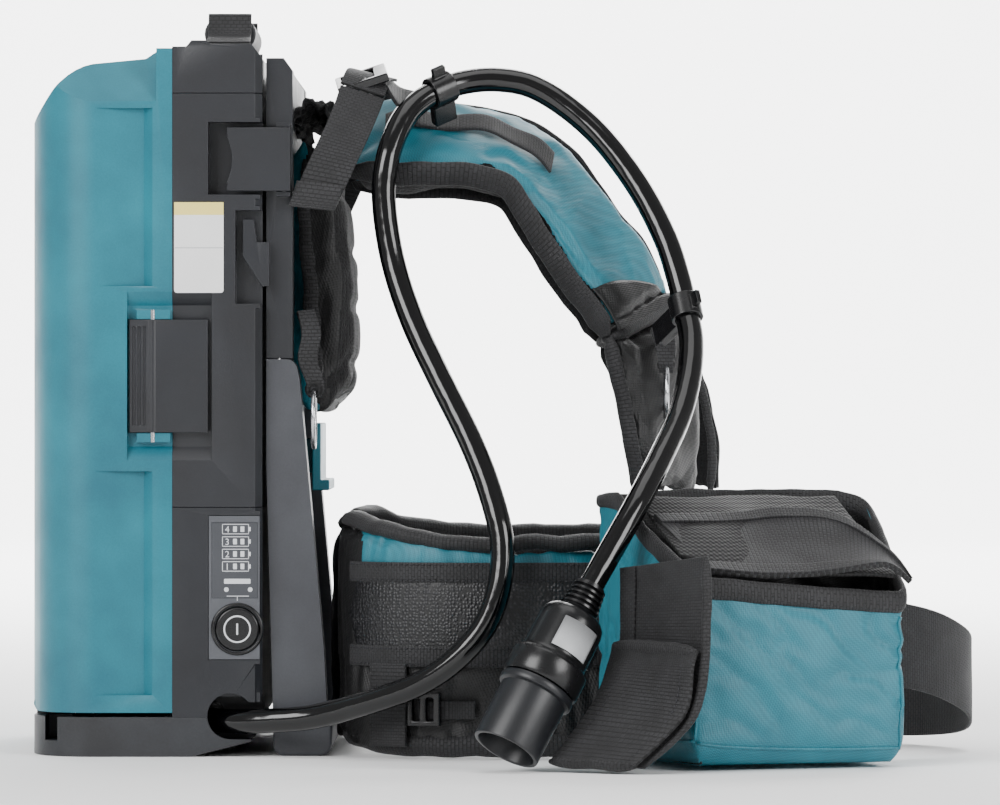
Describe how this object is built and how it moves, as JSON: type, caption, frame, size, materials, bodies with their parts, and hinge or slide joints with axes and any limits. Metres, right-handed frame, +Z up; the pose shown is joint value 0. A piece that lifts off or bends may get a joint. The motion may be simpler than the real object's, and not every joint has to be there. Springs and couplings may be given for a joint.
{
  "type": "backpack battery power supply",
  "caption": "Backpack battery power supply with hinged cover, side latches, padded harness, hip belt with pouch, and an output cord with plug.",
  "frame": {"origin": "middle of the base tray's flat underside, in line with the face where the cover meets the housing", "axes": "+X from the cover to the wearer, +Y to the wearer's left, +Z up"},
  "size_m": [0.5397, 0.5204, 0.4255],
  "materials": {
    "dark_abs": "fine moulded texture, charcoal",
    "base_abs": "moulded, near black grey",
    "teal_abs": "fine moulded texture, teal",
    "grey_abs": "moulded, mid grey",
    "inner_plastic": "moulded",
    "black_plastic": "moulded nylon, satin black",
    "panel_film": "printed film",
    "lens_film": "smoked window",
    "plug_plastic": "moulded, charcoal",
    "cord_rubber": "glossy black jacket",
    "seal_rubber": "matte",
    "steel": "bright steel",
    "brass": "contact metal",
    "battery_plastic": "moulded",
    "release_plastic": "moulded, red",
    "board_laminate": "green laminate with black parts",
    "teal_fabric": "coated ripstop, teal",
    "black_fabric": "woven nylon, black",
    "grained_fabric": "pebble grained synthetic",
    "webbing": "woven webbing, black"
  },
  "bodies": {
    "pack": {"housing_top": "dark_abs", "housing_middle": "dark_abs", "housing_bottom": "dark_abs", "base_tray": "base_abs", "cover_seal": "seal_rubber", "hinge_pins": "steel", "chassis": "inner_plastic", "terminal_blocks": "brass", "controller_board": "board_laminate", "control_panel": "panel_film", "indicator_lens": "lens_film", "cable_gland": "black_plastic", "chassis_screws": "steel", "handle_strap": "webbing", "handle_grip": "seal_rubber", "frame_upper": "dark_abs", "frame_lower": "grey_abs", "frame_foot": "grey_abs", "yoke_plate": "teal_abs", "back_pad": "teal_fabric", "shoulder_pad_right": "teal_fabric", "shoulder_pad_left": "teal_fabric", "shoulder_tail_right": "black_fabric", "shoulder_tail_left": "black_fabric", "lifter_straps": "webbing", "ladder_locks": "black_plastic", "ring_loops": "webbing", "cord_clips": "black_plastic", "lumbar_pad": "black_fabric", "belt_pad_right": "black_fabric", "belt_pad_left": "black_fabric", "belt_bands": "grained_fabric", "belt_adjuster": "black_plastic", "front_webbing": "webbing", "belt_buckle": "black_plastic", "pouch": "teal_fabric", "pouch_flap": "black_fabric", "pouch_strap": "webbing", "cord": "cord_rubber", "plug_body": "plug_plastic", "plug_sleeve": "plug_plastic", "plug_contacts": "brass"},
    "cover": {"cover": "teal_abs", "latch_pins": "steel"},
    "latch_right": {"latch_right": "dark_abs"},
    "latch_left": {"latch_left": "dark_abs"},
    "battery_1": {"battery_1": "battery_plastic"},
    "battery_2": {"battery_2": "battery_plastic"},
    "battery_3": {"battery_3": "battery_plastic"},
    "battery_4": {"battery_4": "battery_plastic"},
    "battery_button_1": {"battery_button_1": "release_plastic"},
    "battery_button_2": {"battery_button_2": "release_plastic"},
    "battery_button_3": {"battery_button_3": "release_plastic"},
    "battery_button_4": {"battery_button_4": "release_plastic"},
    "power_button": {"power_button": "black_plastic"},
    "release_lever_right": {"release_lever_right": "dark_abs"},
    "release_lever_left": {"release_lever_left": "dark_abs"},
    "split_ring_rear": {"split_ring_rear": "steel"},
    "split_ring_front": {"split_ring_front": "steel"},
    "plug_button": {"plug_button": "black_plastic"}
  },
  "joints": [
    {"name": "cover_hinge", "type": "hinge", "parent": "pack", "child": "cover", "pos_m": [-0.077, 0, 0.029], "axis": [0, -1, 0], "range_deg": [0, 90]},
    {"name": "latch_right_hinge", "type": "hinge", "parent": "cover", "child": "latch_right", "pos_m": [-0.011, -0.149, 0.216], "axis": [0, 0, -1], "range_deg": [0, 38]},
    {"name": "latch_left_hinge", "type": "hinge", "parent": "cover", "child": "latch_left", "pos_m": [-0.011, 0.149, 0.216], "axis": [0, 0, 1], "range_deg": [0, 38]},
    {"name": "battery_1_slide", "type": "slide", "parent": "pack", "child": "battery_1", "axis": [-1, 0, 0], "range_m": [0, 0.094]},
    {"name": "battery_2_slide", "type": "slide", "parent": "pack", "child": "battery_2", "axis": [-1, 0, 0], "range_m": [0, 0.094]},
    {"name": "battery_3_slide", "type": "slide", "parent": "pack", "child": "battery_3", "axis": [-1, 0, 0], "range_m": [0, 0.094]},
    {"name": "battery_4_slide", "type": "slide", "parent": "pack", "child": "battery_4", "axis": [-1, 0, 0], "range_m": [0, 0.094]},
    {"name": "battery_1_release", "type": "slide", "parent": "battery_1", "child": "battery_button_1", "axis": [1, 0, 0], "range_m": [0, 0.002], "stiffness_N_per_m": 600},
    {"name": "battery_2_release", "type": "slide", "parent": "battery_2", "child": "battery_button_2", "axis": [1, 0, 0], "range_m": [0, 0.002], "stiffness_N_per_m": 600},
    {"name": "battery_3_release", "type": "slide", "parent": "battery_3", "child": "battery_button_3", "axis": [1, 0, 0], "range_m": [0, 0.002], "stiffness_N_per_m": 600},
    {"name": "battery_4_release", "type": "slide", "parent": "battery_4", "child": "battery_button_4", "axis": [1, 0, 0], "range_m": [0, 0.002], "stiffness_N_per_m": 600},
    {"name": "power_button_press", "type": "slide", "parent": "pack", "child": "power_button", "axis": [0, 1, 0], "range_m": [0, 0.0025], "stiffness_N_per_m": 600},
    {"name": "lever_right_hinge", "type": "hinge", "parent": "pack", "child": "release_lever_right", "pos_m": [0.063, -0.143, 0.339], "axis": [0, 0, 1], "range_deg": [0, 50]},
    {"name": "lever_left_hinge", "type": "hinge", "parent": "pack", "child": "release_lever_left", "pos_m": [0.063, 0.143, 0.339], "axis": [0, 0, -1], "range_deg": [0, 50]},
    {"name": "ring_rear_swing", "type": "hinge", "parent": "pack", "child": "split_ring_rear", "pos_m": [0.08, -0.132, 0.2085], "axis": [0, -1, 0], "range_deg": [-3, 70]},
    {"name": "ring_front_swing", "type": "hinge", "parent": "pack", "child": "split_ring_front", "pos_m": [0.281, -0.121, 0.2225], "axis": [0, -1, 0], "range_deg": [-6, 60]},
    {"name": "plug_button_press", "type": "slide", "parent": "pack", "child": "plug_button", "axis": [-0.6555, -0.5072, 0.5594], "range_m": [0, 0.0015], "stiffness_N_per_m": 600}
  ],
  "couplings": [
    {"joint": "battery_1_slide", "follows": "cover_hinge", "m_per_rad": 0.0598},
    {"joint": "battery_2_slide", "follows": "cover_hinge", "m_per_rad": 0.0598},
    {"joint": "battery_3_slide", "follows": "cover_hinge", "m_per_rad": 0.0598},
    {"joint": "battery_4_slide", "follows": "cover_hinge", "m_per_rad": 0.0598}
  ]
}
